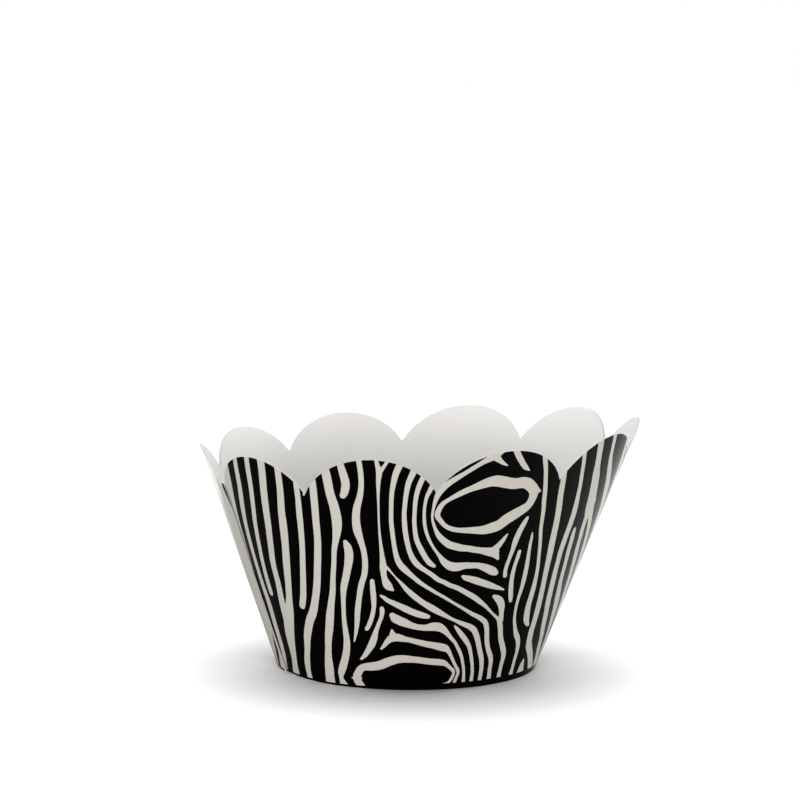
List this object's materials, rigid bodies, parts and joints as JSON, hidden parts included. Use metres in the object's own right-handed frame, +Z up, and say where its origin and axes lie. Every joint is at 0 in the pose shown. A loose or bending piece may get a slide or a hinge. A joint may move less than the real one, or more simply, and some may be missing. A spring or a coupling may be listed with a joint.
{
  "type": "cupcake wrapper",
  "caption": "Flared scalloped card ring that slips round a small cake in its baking case; one printed die-cut sheet, lapped and glued, open at both ends.",
  "frame": {"origin": "middle of the wrapper's footprint (its bounding box seen from above), at the height of its lower edge", "axes": "+Z up through the open mouth, -Y the front that the picture shows, +X to the right; the glued lap is at the left, 67 degrees round from the front"},
  "size_m": [0.085, 0.084, 0.0484],
  "materials": {
    "printed_card": "gloss-coated white card with a black striped print outside, plain white inside"
  },
  "bodies": {
    "root": {"wrapper": "printed_card"}
  },
  "joints": []
}
